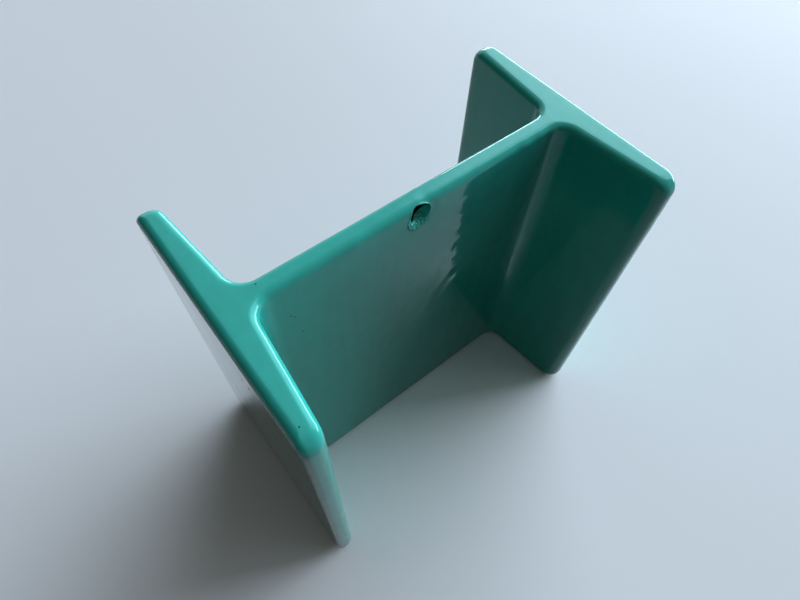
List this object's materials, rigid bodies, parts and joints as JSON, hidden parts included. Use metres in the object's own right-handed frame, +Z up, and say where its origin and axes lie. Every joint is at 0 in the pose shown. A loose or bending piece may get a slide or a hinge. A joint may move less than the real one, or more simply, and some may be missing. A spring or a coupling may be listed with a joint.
{
  "type": "steel i-beam",
  "caption": "Short length of rolled steel I-beam with tapered flanges and rounded ends, standing on a sawn end, glossy green coat, with a hanging hole through the web.",
  "frame": {"origin": "middle of the lower sawn end, on the floor that the piece stands on", "axes": "+Z up along the rolled length, +X across the depth from the left flange to the right one, +Y along the flanges' width, to the back"},
  "size_m": [0.1024, 0.0654, 0.1032],
  "materials": {
    "coated_steel": "thick glossy turquoise-green coating over steel"
  },
  "bodies": {
    "root": {"i_beam": "coated_steel"}
  },
  "joints": []
}
